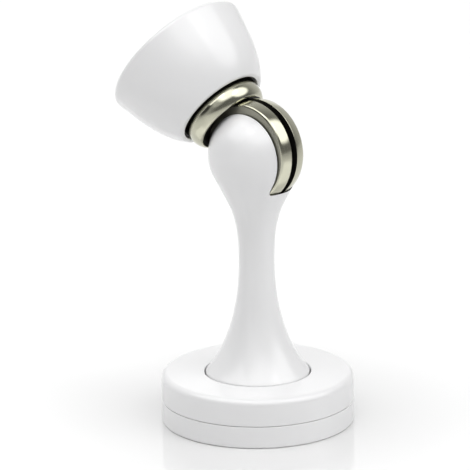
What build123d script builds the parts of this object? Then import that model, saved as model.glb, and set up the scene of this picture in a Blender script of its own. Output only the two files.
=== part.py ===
"""Magnetic door stop: a floor stand with a tilting magnet head, and the door catch that the magnet holds.

Millimetres. The origin is the centre of the base's underside, and +Z runs up the stem.
The head tilts in the XZ plane about a pivot along Y. It is stored leaning towards -X with the catch on it.
Heights of the head and catch are measured from the pivot, along the head's own axis.
"""

import os
from math import cos, radians, sin, sqrt

from build123d import *

os.makedirs("parts", exist_ok=True)

# Clearances
slide_gap = 0.05
seat_gap = 0.1
running_gap = 0.3

# Base: a plate for the floor screws and a ring cover that clamps the stem's flange
base_diameter = 50.0
base_plate_height = 5.9
base_cover_height = 7.1
base_edge_radius = 0.6
base_seam_round = 0.3
cover_edge_radius = 1.8
cover_hole_radius = 13.8
cover_lip_height = 2.2
spigot_radius = 20.5
spigot_height = 3.2
floor_hole_radius = 2.3
floor_hole_circle = 29.0
floor_screw_head_radius = 4.3
floor_screw_angle = 90.0
floor_hole_count = 3

# Stem: a turned column with a foot flange, a waist and a slotted ball
foot_gap = 0.35
flange_radius = 18.5
foot_slope = 40.0
waist_radius = 4.6
waist_height = 42.5
ball_radius = 12.2
ball_drop = 1.1
pivot_height = 72.0
shoulder_angle = 27.0
shoulder_length = 8.0

# Pivot: a socket screw on which the head's disc turns between friction washers
pivot_radius = 2.0
pivot_head_radius = 3.5
pivot_head_height = 2.2
pivot_head_depth = 1.0
pivot_socket_width = 2.5
pivot_socket_depth = 1.3
pivot_grip = 5.0
washer_radius = 7.0
washer_thickness = 0.4

# Magnet holder: a grooved, crowned disc in the ball's slot and a barrel collar on top of it
head_tilt = 52.0
disc_radius = 13.2
disc_thickness = 8.5
disc_edge = 0.5
groove_width = 2.1
groove_floor_radius = 6.5
dish_depth = 0.1
collar_lip_height = 9.9
collar_lip_radius = 9.7
collar_radius = 10.9
collar_waist_height = 12.6
collar_neck_radius = 10.1
collar_neck_height = 15.4
collar_top_taper = 0.2
collar_web = 1.6

# Magnet: a disc in a steel pot, set flush in the collar's pocket
pot_radius = 8.4
pot_height = 3.4
pot_wall = 1.2
pot_floor = 0.9
magnet_gap = 0.5
magnet_recess = 0.1

# Catch: a bell-shaped cup that carries a sprung strike plate
mouth_overlap = 3.5
mouth_gap = 1.4
mouth_wall = 1.1
mouth_round = 0.4
cup_length = 19.9
cup_rim_radius = 19.95
cup_rim_round = 0.9
cup_mouth_slope = 41.6
cup_rim_slope = 12.9
cup_wall = 2.0
strike_gap = 0.5
strike_thickness = 1.6
strike_edge = 0.3
strike_travel = 2.5
spring_solid_height = 2.4
web_thickness = 2.0
rod_radius = 2.4
rod_tail = 1.2
rod_groove_depth = 0.5
clip_thickness = 0.8
clip_radius = 4.6
clip_mouth = 3.0
spring_wire_radius = 0.3
spring_radius = 4.4
spring_turns = 2.5
buffer_wall = 1.6
skirt_wall = 0.6
skirt_setback = 0.7
door_plate_thickness = 2.6
door_plate_recess = 0.1
door_plate_ledge = 1.2
door_hole_radius = 2.1
door_hole_circle = 22.0
door_screw_head_radius = 4.0
door_hole_count = 3

# Places that follow from the sizes above
base_radius = base_diameter / 2
cover_top = base_plate_height + base_cover_height
flange_bottom = base_plate_height + spigot_height
flange_top = cover_top - cover_lip_height
foot_radius = cover_hole_radius - foot_gap
slot_half_width = disc_thickness / 2 + washer_thickness
dish_radius = disc_radius - dish_depth
pocket_floor = dish_radius + collar_web
collar_top_height = pocket_floor + pot_height
mouth_height = collar_top_height - mouth_overlap
collar_top_radius = collar_neck_radius - collar_top_taper
mouth_radius = collar_neck_radius + mouth_gap
strike_radius = mouth_radius - buffer_wall - strike_gap
strike_face = collar_top_height + seat_gap
strike_back = strike_face + strike_thickness
web_height = strike_back + strike_travel + spring_solid_height
web_back = web_height + web_thickness
rod_end = web_back + clip_thickness + rod_tail
rim_height = mouth_height + cup_length
door_plate_front = rim_height - door_plate_recess - door_plate_thickness
ball_height = pivot_height - ball_drop
pivot_seat = sqrt(ball_radius**2 - (pivot_head_radius + ball_drop) ** 2) - pivot_head_depth - pivot_head_height

# Frames: the pivot's side view and the head's, whose second axis runs along the head
pivot = Vector(0, 0, pivot_height)
tilt = radians(head_tilt)
head_axis = Axis(pivot, (-sin(tilt), 0, cos(tilt)))
pivot_axis = Axis(pivot, (0, 1, 0))
pivot_plan = Plane(pivot)
pivot_side = Plane(pivot, x_dir=(1, 0, 0), z_dir=(0, -1, 0))
head_side = Plane(pivot, x_dir=(cos(tilt), 0, sin(tilt)), z_dir=(0, -1, 0))
head_top = Plane(pivot, x_dir=(cos(tilt), 0, sin(tilt)), z_dir=head_axis.direction)


# Base plate: a disc with a spigot that centres the cover, and countersunk floor holes
with BuildPart() as base_plate:
    Cylinder(base_radius, base_plate_height, align=(Align.CENTER, Align.CENTER, Align.MIN))
    fillet(base_plate.edges().group_by(Axis.Z)[0], base_edge_radius)
    fillet(base_plate.edges().group_by(Axis.Z)[-1], base_seam_round)
    with Locations((0, 0, base_plate_height)):
        Cylinder(spigot_radius, spigot_height, align=(Align.CENTER, Align.CENTER, Align.MIN))
    with Locations((0, 0, flange_bottom)):
        with PolarLocations(floor_hole_circle / 2, floor_hole_count, start_angle=floor_screw_angle):
            CounterSinkHole(floor_hole_radius, floor_screw_head_radius)
base_plate.part.label = "base_plate"

# Base cover: a ring that drops over the stem, fits on the spigot and holds the flange down
with BuildPart() as base_cover:
    with BuildSketch(Plane.XZ):
        with BuildLine():
            Polyline(
                (cover_hole_radius, cover_top),
                (base_radius, cover_top),
                (base_radius, base_plate_height),
                (spigot_radius + seat_gap, base_plate_height),
                (spigot_radius + seat_gap, flange_top),
                (cover_hole_radius, flange_top),
                close=True,
            )
        make_face()
    revolve(axis=Axis.Z)
    outer_edges = base_cover.edges().filter_by(GeomType.CIRCLE).sort_by(SortBy.RADIUS)[-2:]
    fillet(outer_edges.sort_by(Axis.Z)[-1], cover_edge_radius)
    fillet(outer_edges.sort_by(Axis.Z)[0], base_seam_round)
base_cover.part.label = "base_cover"

# Stem: the foot flares to the cover's hole, the waist swells to a ball, and a crowned slot takes the disc
shoulder = (sin(radians(shoulder_angle)), cos(radians(shoulder_angle)))
ball_start = (ball_radius * shoulder[1], ball_height - ball_radius * shoulder[0])
shoulder_start = (
    ball_start[0] - shoulder_length * shoulder[0],
    ball_start[1] - shoulder_length * shoulder[1],
)
foot_run = (-sin(radians(foot_slope)), cos(radians(foot_slope)))
slot_radius = disc_radius + running_gap
slot_edge = sqrt(slot_radius**2 - slot_half_width**2)
slot_corner_round = disc_edge + running_gap
with BuildPart() as stem:
    with BuildSketch(Plane.XZ):
        with BuildLine():
            Polyline(
                (0, flange_bottom),
                (flange_radius, flange_bottom),
                (flange_radius, flange_top),
                (foot_radius, flange_top),
                (foot_radius, cover_top),
            )
            Spline((foot_radius, cover_top), (waist_radius, waist_height), tangents=[foot_run, (0, 1)])
            Spline((waist_radius, waist_height), shoulder_start, tangents=[(0, 1), shoulder])
            Line(shoulder_start, ball_start)
            RadiusArc(ball_start, (0, ball_height + ball_radius), -ball_radius)
            Line((0, ball_height + ball_radius), (0, flange_bottom))
        make_face()
    revolve(axis=Axis.Z)
    with BuildSketch(pivot_plan) as slot_profile:
        with BuildLine():
            Polyline(
                (slot_edge, slot_half_width),
                (0, slot_half_width),
                (0, -slot_half_width),
                (slot_edge, -slot_half_width),
            )
            RadiusArc((slot_edge, -slot_half_width), (slot_edge, slot_half_width), -slot_radius)
        make_face()
        fillet(slot_profile.vertices().sort_by(Axis.X)[-2:], slot_corner_round)
    revolve(axis=pivot_axis, mode=Mode.SUBTRACT)
    with BuildSketch(pivot_side.offset(slot_half_width + pivot_grip)):
        Circle(pivot_radius + slide_gap)
    extrude(amount=-(slot_half_width + pivot_grip + ball_radius), mode=Mode.SUBTRACT)
    with BuildSketch(pivot_side.offset(-pivot_seat)):
        Circle(pivot_head_radius + seat_gap)
    extrude(amount=-ball_radius, mode=Mode.SUBTRACT)
stem.part.label = "stem"

# Pivot screw: a plain shank through the disc, with a socket head sunk in the far cheek
with BuildPart() as pivot_screw:
    with BuildSketch(pivot_side.offset(slot_half_width + pivot_grip - running_gap)):
        Circle(pivot_radius)
    extrude(amount=-(slot_half_width + pivot_grip - running_gap + pivot_seat))
    with BuildSketch(pivot_side.offset(-pivot_seat)):
        Circle(pivot_head_radius)
    extrude(amount=-pivot_head_height)
    with BuildSketch(pivot_side.offset(-pivot_seat - pivot_head_height)):
        RegularPolygon(pivot_socket_width / 2, 6, major_radius=False)
    extrude(amount=pivot_socket_depth, mode=Mode.SUBTRACT)
pivot_screw.part.label = "pivot_screw"

# Friction washers: one on each side of the disc
with BuildPart() as friction_washers:
    for face_offset in (disc_thickness / 2, -slot_half_width):
        with BuildSketch(pivot_side.offset(face_offset)):
            Circle(washer_radius)
            Circle(pivot_radius + slide_gap, mode=Mode.SUBTRACT)
        extrude(amount=washer_thickness)
friction_washers.part.label = "friction_washers"

# Magnet holder: a grooved pivot disc joined to a barrel collar, whose underside is dished to clear the ball
dish_edge = sqrt(dish_radius**2 - collar_lip_height**2)
disc_half = disc_thickness / 2
disc_face_radius = sqrt(disc_radius**2 - disc_half**2)
with BuildPart() as magnet_holder:
    with BuildSketch(pivot_plan):
        with BuildLine():
            Polyline((disc_face_radius, disc_half), (0, disc_half), (0, -disc_half), (disc_face_radius, -disc_half))
            RadiusArc((disc_face_radius, -disc_half), (disc_face_radius, disc_half), -disc_radius)
        make_face()
    revolve(axis=pivot_axis)
    fillet(magnet_holder.edges().filter_by(GeomType.CIRCLE), disc_edge)
    with BuildSketch(pivot_side):
        Circle(disc_radius)
        Circle(groove_floor_radius, mode=Mode.SUBTRACT)
    extrude(amount=groove_width / 2, both=True, mode=Mode.SUBTRACT)
    with BuildSketch(head_side):
        with BuildLine():
            RadiusArc((0, dish_radius), (dish_edge, collar_lip_height), dish_radius)
            Line((dish_edge, collar_lip_height), (collar_lip_radius, collar_lip_height))
            ThreePointArc(
                (collar_lip_radius, collar_lip_height),
                (collar_radius, collar_waist_height),
                (collar_neck_radius, collar_neck_height),
            )
            Polyline(
                (collar_neck_radius, collar_neck_height),
                (collar_top_radius, collar_top_height),
                (pot_radius + seat_gap, collar_top_height),
                (pot_radius + seat_gap, pocket_floor),
                (0, pocket_floor),
                (0, dish_radius),
            )
        make_face()
    revolve(axis=head_axis)
    with BuildSketch(pivot_side):
        Circle(pivot_radius + slide_gap)
    extrude(amount=disc_thickness, both=True, mode=Mode.SUBTRACT)
magnet_holder.part.label = "magnet_holder"

# Magnet pot: the steel cup that turns the magnet's pull towards the catch
with BuildPart() as magnet_pot:
    with BuildSketch(head_top.offset(pocket_floor)):
        Circle(pot_radius)
    extrude(amount=pot_height)
    with BuildSketch(head_top.offset(pocket_floor + pot_floor)):
        Circle(pot_radius - pot_wall)
    extrude(amount=pot_height, mode=Mode.SUBTRACT)
magnet_pot.part.label = "magnet_pot"

# Magnet: a disc on the pot's floor
with BuildPart() as magnet:
    with BuildSketch(head_top.offset(pocket_floor + pot_floor)):
        Circle(pot_radius - pot_wall - magnet_gap)
    extrude(amount=pot_height - pot_floor - magnet_recess)
magnet.part.label = "magnet"

# Catch cup: a bell with a deep mouth for the head, a web for the plunger and a seat for the door plate
mouth_lip = (mouth_radius + mouth_wall, mouth_height)
rim_lip = (cup_rim_radius, rim_height)
mouth_run = (sin(radians(cup_mouth_slope)), cos(radians(cup_mouth_slope)))
rim_run = (sin(radians(cup_rim_slope)), cos(radians(cup_rim_slope)))
door_plate_radius = cup_rim_radius - cup_wall
cavity_radius = door_plate_radius - door_plate_ledge
with BuildPart() as catch_cup:
    with BuildSketch(head_side):
        with BuildLine():
            Line((mouth_radius, mouth_height), mouth_lip)
            Spline(mouth_lip, rim_lip, tangents=[mouth_run, rim_run])
            Polyline(
                rim_lip,
                (door_plate_radius, rim_height),
                (door_plate_radius, door_plate_front),
                (cavity_radius, door_plate_front),
                (mouth_radius, web_back),
                (rod_radius + seat_gap, web_back),
                (rod_radius + seat_gap, web_height),
                (mouth_radius, web_height),
                (mouth_radius, mouth_height),
            )
        make_face()
    revolve(axis=head_axis)
    cup_circles = catch_cup.edges().filter_by(GeomType.CIRCLE)
    fillet(cup_circles.sort_by(head_axis)[:2], mouth_round)
    rim_edge = catch_cup.edges().filter_by(GeomType.CIRCLE).sort_by(SortBy.RADIUS)[-1]
    fillet(rim_edge, cup_rim_round)
catch_cup.part.label = "catch_cup"

# Mouth buffer: a rubber ring in the cup, round the strike plate, with a thin skirt that lines the mouth
buffer_outside = mouth_radius - slide_gap
buffer_face = strike_face + seat_gap
with BuildPart() as mouth_buffer:
    with BuildSketch(head_side):
        with BuildLine():
            Polyline(
                (buffer_outside, mouth_height + skirt_setback),
                (buffer_outside, web_height),
                (mouth_radius - buffer_wall, web_height),
                (mouth_radius - buffer_wall, buffer_face),
                (mouth_radius - skirt_wall, buffer_face),
                (mouth_radius - skirt_wall, mouth_height + skirt_setback),
                close=True,
            )
        make_face()
    revolve(axis=head_axis)
mouth_buffer.part.label = "mouth_buffer"

# Strike plate: the steel disc that the magnet holds, on a plunger rod with a clip groove
with BuildPart() as strike_plate:
    with BuildSketch(head_top.offset(strike_face)):
        Circle(strike_radius)
    extrude(amount=strike_thickness)
    chamfer(strike_plate.edges().filter_by(GeomType.CIRCLE), strike_edge)
    with BuildSketch(head_top.offset(strike_back)):
        Circle(rod_radius)
    extrude(amount=rod_end - strike_back)
    with BuildSketch(head_top.offset(web_back)):
        Circle(rod_radius)
        Circle(rod_radius - rod_groove_depth, mode=Mode.SUBTRACT)
    extrude(amount=clip_thickness, mode=Mode.SUBTRACT)
strike_plate.part.label = "strike_plate"

# Rod clip: an open ring in the rod's groove, which stops the plunger against the web
with BuildPart() as rod_clip:
    with BuildSketch(head_top.offset(web_back)):
        Circle(clip_radius)
        Circle(rod_radius - rod_groove_depth + slide_gap, mode=Mode.SUBTRACT)
        with Locations((clip_radius, 0)):
            Rectangle(2 * clip_radius, clip_mouth, mode=Mode.SUBTRACT)
    extrude(amount=clip_thickness)
rod_clip.part.label = "rod_clip"

# Buffer spring: an open coil between the strike plate and the web
spring_base = strike_back + spring_wire_radius + slide_gap
spring_length = web_height - strike_back - 2 * (spring_wire_radius + slide_gap)
with BuildPart() as buffer_spring:
    with BuildLine(head_top.offset(spring_base)) as coil:
        Helix(spring_length / spring_turns, spring_length, spring_radius, direction=head_axis.direction)
    with BuildSketch(Plane(coil.line @ 0, z_dir=coil.line % 0)):
        Circle(spring_wire_radius)
    sweep(path=coil.line, is_frenet=True)
buffer_spring.part.label = "buffer_spring"

# Door plate: a disc in the cup's rim, with countersunk holes for the screws into the door
with BuildPart() as door_plate:
    with BuildSketch(head_top.offset(door_plate_front)):
        Circle(door_plate_radius - seat_gap)
    extrude(amount=door_plate_thickness)
    with Locations(Plane(head_top.offset(door_plate_front).origin, head_top.x_dir, -head_top.z_dir)):
        with PolarLocations(door_hole_circle / 2, door_hole_count):
            CounterSinkHole(door_hole_radius, door_screw_head_radius)
door_plate.part.label = "door_plate"

pieces = (
    base_plate,
    base_cover,
    stem,
    pivot_screw,
    friction_washers,
    magnet_holder,
    magnet_pot,
    magnet,
    catch_cup,
    mouth_buffer,
    strike_plate,
    rod_clip,
    buffer_spring,
    door_plate,
)
for piece in pieces:
    export_step(piece.part, f"parts/{piece.part.label}.step")
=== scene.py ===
"""Dresses the magnetic door stop: fine turned meshes, enamel and nickel finishes, studio light and camera.

Sizes are in millimetres, as in the part's source, and become metres where a mesh is placed.
"""

import logging
import math
from abc import ABC, abstractmethod
from dataclasses import dataclass, field
from enum import Enum

import bmesh
import bpy
from mathutils import Matrix, Vector


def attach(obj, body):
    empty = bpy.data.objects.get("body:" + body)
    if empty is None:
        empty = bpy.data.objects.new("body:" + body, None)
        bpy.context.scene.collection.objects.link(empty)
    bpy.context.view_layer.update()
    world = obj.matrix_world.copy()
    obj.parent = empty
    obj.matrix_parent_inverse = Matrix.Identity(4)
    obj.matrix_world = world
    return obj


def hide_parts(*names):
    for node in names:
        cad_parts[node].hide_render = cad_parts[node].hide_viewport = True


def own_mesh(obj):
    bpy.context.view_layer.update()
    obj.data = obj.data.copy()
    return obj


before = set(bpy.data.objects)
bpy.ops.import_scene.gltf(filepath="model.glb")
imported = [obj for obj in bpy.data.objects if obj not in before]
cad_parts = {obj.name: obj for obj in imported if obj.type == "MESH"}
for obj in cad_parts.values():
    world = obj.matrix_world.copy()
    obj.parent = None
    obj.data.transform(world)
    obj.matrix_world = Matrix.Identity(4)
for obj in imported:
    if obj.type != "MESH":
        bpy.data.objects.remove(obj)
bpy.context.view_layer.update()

log = logging.getLogger("door_stop")

# Metres in a millimetre
MM = 0.001

# Steps in a rounded corner
ROUND_STEPS = 6

# Points this near to the turning axis lie on it
AXIS_RADIUS = 1e-6

# Points this near to each other are welded
WELD = 0.003

# How far a cut runs past a face, and how far it runs to leave the ball
OVERRUN = 1.0
THROUGH = 20.0

# Facets round a turned piece
FINE_TURN = 192
BASE_TURN = 160
PLAIN_TURN = 96
SMALL_TURN = 64
HOLE_TURN = 48

Point = tuple[float, float]
Triple = tuple[float, float, float]
Piece = bpy.types.Object
Tree = bpy.types.NodeTree
Node = bpy.types.Node
Socket = bpy.types.NodeSocket


class Body(Enum):
    """The rigid bodies that the pieces ride on."""

    STAND = "stand"
    HEAD = "head"
    CATCH = "catch"
    STRIKE = "strike"


class Slot(Enum):
    """The record's material slots, one named with each dressed piece."""

    ENAMEL = "white_enamel"
    NICKEL = "satin_nickel"
    STEEL = "plain_steel"
    MAGNET = "magnet_plating"
    RUBBER = "black_rubber"


class Cut(Enum):
    """How one mesh is combined with another."""

    TAKE_AWAY = "DIFFERENCE"
    JOIN = "UNION"


class VectorStep(Enum):
    """What a vector node works out."""

    OFFSET = "SUBTRACT"
    ALONG = "DOT_PRODUCT"
    ACROSS = "CROSS_PRODUCT"
    LENGTH = "LENGTH"


class LevelStep(Enum):
    """What a node works out from two levels."""

    SUM = "ADD"
    PRODUCT = "MULTIPLY"
    LARGER = "MAXIMUM"


class Ramp(Enum):
    """How a level goes from one end of its ramp to the other."""

    EVEN = "LINEAR"
    SOFT = "SMOOTHSTEP"


@dataclass
class Outline:
    """A turned piece's half section, as (radius, height) points in order round the section."""

    points: list[Point] = field(default_factory=list)
    rounds: dict[int, float] = field(default_factory=dict)

    def corner(self, radius: float, height: float, rounding: float = 0.0) -> "Outline":
        """Adds a straight run to a corner.

        Args:
            radius: The corner's distance from the turning axis.
            height: The corner's place along the axis.
            rounding: How far along each side the corner's rounding starts.

        Returns:
            The outline, so that calls can be chained.
        """
        if rounding > 0.0:
            self.rounds[len(self.points)] = rounding
        self.points.append((radius, height))
        return self

    def curve(
        self, end: Point, leave: Point, arrive: Point, rounding: float = 0.0, steps: int = 40
    ) -> "Outline":
        """Adds a smooth curve from the last point.

        Args:
            end: The curve's last point.
            leave: The direction at its start.
            arrive: The direction at its end.
            rounding: The rounding of the corner at its end.
            steps: How many points it is drawn with.

        Returns:
            The outline, so that calls can be chained.
        """
        start = Vector(self.points[-1])
        finish = Vector(end)
        chord = (finish - start).length
        first = Vector(leave).normalized() * chord
        last = Vector(arrive).normalized() * chord
        for step in range(1, steps):
            share = step / steps
            square = share**2
            cube = share**3
            place = start.lerp(finish, 3 * square - 2 * cube)
            place += first * (cube - 2 * square + share) + last * (cube - square)
            self.corner(place.x, place.y)
        return self.corner(end[0], end[1], rounding)

    def arc(
        self, centre: Point, end: Point, bulge: int = 1, rounding: float = 0.0, steps: int = 32
    ) -> "Outline":
        """Adds a circular arc from the last point.

        Args:
            centre: The circle's centre.
            end: The arc's last point.
            bulge: 1 to run anticlockwise, -1 to run clockwise.
            rounding: The rounding of the corner at its end.
            steps: How many points it is drawn with.

        Returns:
            The outline, so that calls can be chained.
        """
        middle = Vector(centre)
        spoke = Vector(self.points[-1]) - middle
        start_angle = math.atan2(spoke.y, spoke.x)
        far_spoke = Vector(end) - middle
        sweep = math.atan2(far_spoke.y, far_spoke.x) - start_angle
        sweep = bulge * ((bulge * sweep) % (2 * math.pi))
        for step in range(1, steps):
            angle = start_angle + sweep * step / steps
            self.corner(
                middle.x + spoke.length * math.cos(angle),
                middle.y + spoke.length * math.sin(angle),
            )
        return self.corner(end[0], end[1], rounding)

    def rounded(self) -> list[Point]:
        """Rounds the corners that ask for it.

        Returns:
            The points in order, with each such corner replaced by an arc.
        """
        points = [Vector(point) for point in self.points]
        for index in sorted(self.rounds, reverse=True):
            before, start = self._walk(points, index, -1, self.rounds[index])
            after, finish = self._walk(points, index, 1, self.rounds[index])
            tip = points[index]
            weight = math.sin((start - tip).angle(finish - tip) / 2)
            arc = []
            for step in range(ROUND_STEPS + 1):
                along = step / ROUND_STEPS
                shares = ((1 - along) ** 2, 2 * weight * along * (1 - along), along**2)
                arc.append((start * shares[0] + tip * shares[1] + finish * shares[2]) / sum(shares))
            points[before + 1 : after] = arc
        return [(point.x, point.y) for point in points]

    @staticmethod
    def _walk(points: list[Vector], index: int, step: int, reach: float) -> tuple[int, Vector]:
        """Walks along the outline from a corner.

        Args:
            points: The outline's points.
            index: The corner to start from.
            step: 1 to walk on, -1 to walk back.
            reach: How far to walk.

        Returns:
            The first point that is kept, and the place where the walk ends.
        """
        left = reach
        at = index
        while True:
            run = points[at + step] - points[at]
            if run.length > left:
                return at + step, points[at] + run.normalized() * left
            left -= run.length
            at += step


@dataclass(frozen=True)
class Frames:
    """The frames that pieces are turned in, each with its turning axis along its own Z."""

    pivot_height: float = 72.0
    head_tilt: float = 52.0

    def upright(self) -> Matrix:
        """The stem's axis, from the floor up."""
        return Matrix.Identity(4)

    def at_pivot(self) -> Matrix:
        """The pivot's place, upright."""
        return Matrix.Translation((0, 0, self.pivot_height))

    def pivot(self) -> Matrix:
        """The pivot's axis, towards the screw's head."""
        return self.at_pivot() @ Matrix.Rotation(math.radians(-90), 4, "X")

    def head(self) -> Matrix:
        """The head's axis, from the pivot out through the catch."""
        return self.at_pivot() @ Matrix.Rotation(-math.radians(self.head_tilt), 4, "Y")

    def head_axis(self) -> Vector:
        """The direction of the head's axis."""
        return (self.head().to_3x3() @ Vector((0, 0, 1))).normalized()


FRAMES = Frames()


class Workshop:
    """Turns, cuts and finishes meshes."""

    @staticmethod
    def turned(name: str, outline: Outline, place: Matrix, segments: int = FINE_TURN) -> Piece:
        """Turns an outline into a closed mesh.

        Args:
            name: The piece's name.
            outline: The half section, closed by its axis or by its own last run.
            place: The frame that it is turned in, in millimetres.
            segments: How many facets go round.

        Returns:
            The piece, in metres in the part's frame.
        """
        mesh = bmesh.new()
        rings = []
        for radius, height in outline.rounded():
            if radius < AXIS_RADIUS:
                rings.append([mesh.verts.new((0, 0, height))])
                continue
            ring = []
            for index in range(segments):
                angle = 2 * math.pi * index / segments
                ring.append(mesh.verts.new((radius * math.cos(angle), radius * math.sin(angle), height)))
            rings.append(ring)
        pairs = list(zip(rings, rings[1:] + rings[:1]))
        for lower, upper in pairs:
            if len(lower) == 1 and len(upper) == 1:
                continue
            for index in range(segments):
                following = (index + 1) % segments
                corners = [
                    lower[index % len(lower)],
                    lower[following % len(lower)],
                    upper[following % len(upper)],
                    upper[index % len(upper)],
                ]
                mesh.faces.new(list(dict.fromkeys(corners)))
        bmesh.ops.recalc_face_normals(mesh, faces=mesh.faces)
        return Workshop.placed(name, mesh, place)

    @staticmethod
    def prism(name: str, radius: float, low: float, high: float, place: Matrix, sides: int) -> Piece:
        """Makes a straight prism for a cut.

        Args:
            name: The piece's name.
            radius: The distance from its axis to its corners.
            low: Where it starts along its axis.
            high: Where it ends.
            place: The frame that it stands in, in millimetres.
            sides: How many flat sides it has.

        Returns:
            The prism, in metres in the part's frame.
        """
        outline = Outline().corner(0, low).corner(radius, low).corner(radius, high).corner(0, high)
        return Workshop.turned(name, outline, place, sides)

    @staticmethod
    def drills(
        name: str, drill: Outline, place: Matrix, circle: float, count: int, start: float = 0.0
    ) -> list[Piece]:
        """Makes a ring of drills for screw holes.

        Args:
            name: The start of the drills' names.
            drill: One drill's half section.
            place: The frame that the ring is in, in millimetres.
            circle: The diameter of the ring.
            count: How many drills it has.
            start: Where the first one is, in degrees round the ring.

        Returns:
            The drills, in metres in the part's frame.
        """
        reach = circle / 2
        drills = []
        for index in range(count):
            angle = math.radians(start) + 2 * math.pi * index / count
            shift = Matrix.Translation((reach * math.cos(angle), reach * math.sin(angle), 0))
            drills.append(Workshop.turned(f"{name}_{index}", drill, place @ shift, HOLE_TURN))
        return drills

    @staticmethod
    def placed(name: str, mesh: bmesh.types.BMesh, place: Matrix) -> Piece:
        """Puts a mesh in the scene.

        Args:
            name: The piece's name.
            mesh: The mesh, in millimetres in its own frame. It is used up.
            place: That frame, in millimetres.

        Returns:
            The new object.
        """
        mesh.transform(Matrix.Scale(MM, 4) @ place)
        data = bpy.data.meshes.new(name)
        mesh.to_mesh(data)
        mesh.free()
        piece = bpy.data.objects.new(name, data)
        bpy.context.scene.collection.objects.link(piece)
        return piece

    @staticmethod
    def combine(piece: Piece, tools: list[Piece], how: Cut) -> None:
        """Cuts or joins other meshes into a piece and removes them.

        Args:
            piece: The mesh that is kept.
            tools: The meshes that are used up.
            how: Whether they are taken away or joined on.
        """
        for tool in tools:
            step = piece.modifiers.new(tool.name, "BOOLEAN")
            step.operation = how.value
            step.solver = "EXACT"
            step.object = tool
            bpy.context.view_layer.update()
            graph = bpy.context.evaluated_depsgraph_get()
            result = bpy.data.meshes.new_from_object(piece.evaluated_get(graph))
            piece.modifiers.clear()
            piece.data = result
            bpy.data.objects.remove(tool)

    @staticmethod
    def soften(piece: Piece, width: float, angle: float = 40.0, merge: float = 0.4) -> None:
        """Rounds a cut piece's sharp outer edges a little, so that they catch the light.

        Args:
            piece: The piece.
            width: The rounding's width.
            angle: Edges that turn by more than this many degrees are rounded.
            merge: The share of the width within which corners are first drawn together.
        """
        mesh = bmesh.new()
        mesh.from_mesh(piece.data)
        sharp = Workshop._sharp(mesh, angle)
        corners = list(dict.fromkeys(vert for edge in sharp for vert in edge.verts))
        bmesh.ops.remove_doubles(mesh, verts=corners, dist=merge * width * MM)
        sharp = [edge for edge in Workshop._sharp(mesh, angle) if edge.is_convex]
        bmesh.ops.bevel(
            mesh,
            geom=sharp,
            offset=width * MM,
            offset_type="OFFSET",
            segments=2,
            profile=0.5,
            affect="EDGES",
            clamp_overlap=True,
        )
        mesh.to_mesh(piece.data)
        mesh.free()

    @staticmethod
    def _sharp(mesh: bmesh.types.BMesh, angle: float) -> list[bmesh.types.BMEdge]:
        """Returns the edges that turn by more than an angle in degrees."""
        limit = math.radians(angle)
        return [edge for edge in mesh.edges if edge.is_manifold and edge.calc_face_angle(0.0) > limit]

    @staticmethod
    def smooth(piece: Piece, angle: float = 30.0) -> None:
        """Welds stray points and shades a piece smooth, with its sharp edges kept.

        Args:
            piece: The piece.
            angle: Edges that turn by more than this many degrees stay sharp.
        """
        mesh = bmesh.new()
        mesh.from_mesh(piece.data)
        bmesh.ops.remove_doubles(mesh, verts=mesh.verts[:], dist=WELD * MM)
        bmesh.ops.dissolve_degenerate(mesh, edges=mesh.edges[:], dist=WELD * MM)
        for face in mesh.faces:
            face.smooth = True
        for edge in mesh.edges:
            edge.smooth = not edge.is_manifold or edge.calc_face_angle(0.0) < math.radians(angle)
        mesh.to_mesh(piece.data)
        mesh.free()
        weighted = piece.modifiers.new("even_normals", "WEIGHTED_NORMAL")
        weighted.keep_sharp = True


class Nodes:
    """Adds shader nodes."""

    @staticmethod
    def place(tree: Tree) -> Socket:
        """Returns the piece's own coordinates, in metres in the part's frame at rest."""
        return tree.nodes.new("ShaderNodeTexCoord").outputs["Object"]

    @staticmethod
    def vector(tree: Tree, step: VectorStep, value: Socket, other: Triple = (0.0, 0.0, 0.0)) -> Node:
        """Works on a vector.

        Args:
            tree: The nodes.
            step: What is worked out.
            value: The vector.
            other: The fixed vector that it is worked out with, where there is one.

        Returns:
            The node.
        """
        node = tree.nodes.new("ShaderNodeVectorMath")
        node.operation = step.value
        node.inputs[1].default_value = other
        tree.links.new(value, node.inputs[0])
        return node

    @staticmethod
    def level(tree: Tree, step: LevelStep, first: Socket, second: Socket) -> Socket:
        """Brings two levels together.

        Args:
            tree: The nodes.
            step: What is worked out.
            first: The first level.
            second: The second level.

        Returns:
            The result's socket.
        """
        node = tree.nodes.new("ShaderNodeMath")
        node.operation = step.value
        tree.links.new(first, node.inputs[0])
        tree.links.new(second, node.inputs[1])
        return node.outputs["Value"]

    @staticmethod
    def ramp(tree: Tree, kind: Ramp, value: Socket, span: Point, levels: Point) -> Socket:
        """Turns a value into a level.

        Args:
            tree: The nodes.
            kind: How the level goes from end to end.
            value: The value.
            span: The values at which the ramp starts and ends.
            levels: The levels at its start and its end.

        Returns:
            The level's socket.
        """
        node = tree.nodes.new("ShaderNodeMapRange")
        node.interpolation_type = kind.value
        node.inputs["From Min"].default_value = span[0]
        node.inputs["From Max"].default_value = span[1]
        node.inputs["To Min"].default_value = levels[0]
        node.inputs["To Max"].default_value = levels[1]
        tree.links.new(value, node.inputs["Value"])
        return node.outputs["Result"]

    @staticmethod
    def noise(tree: Tree, where: Socket, scale: float, detail: float) -> Socket:
        """Adds a noise texture.

        Args:
            tree: The nodes.
            where: The coordinates that it is read at.
            scale: Its scale, per metre.
            detail: How many finer layers it has.

        Returns:
            The noise's value socket.
        """
        node = tree.nodes.new("ShaderNodeTexNoise")
        node.inputs["Scale"].default_value = scale
        node.inputs["Detail"].default_value = detail
        tree.links.new(where, node.inputs["Vector"])
        return node.outputs["Fac"]


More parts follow.
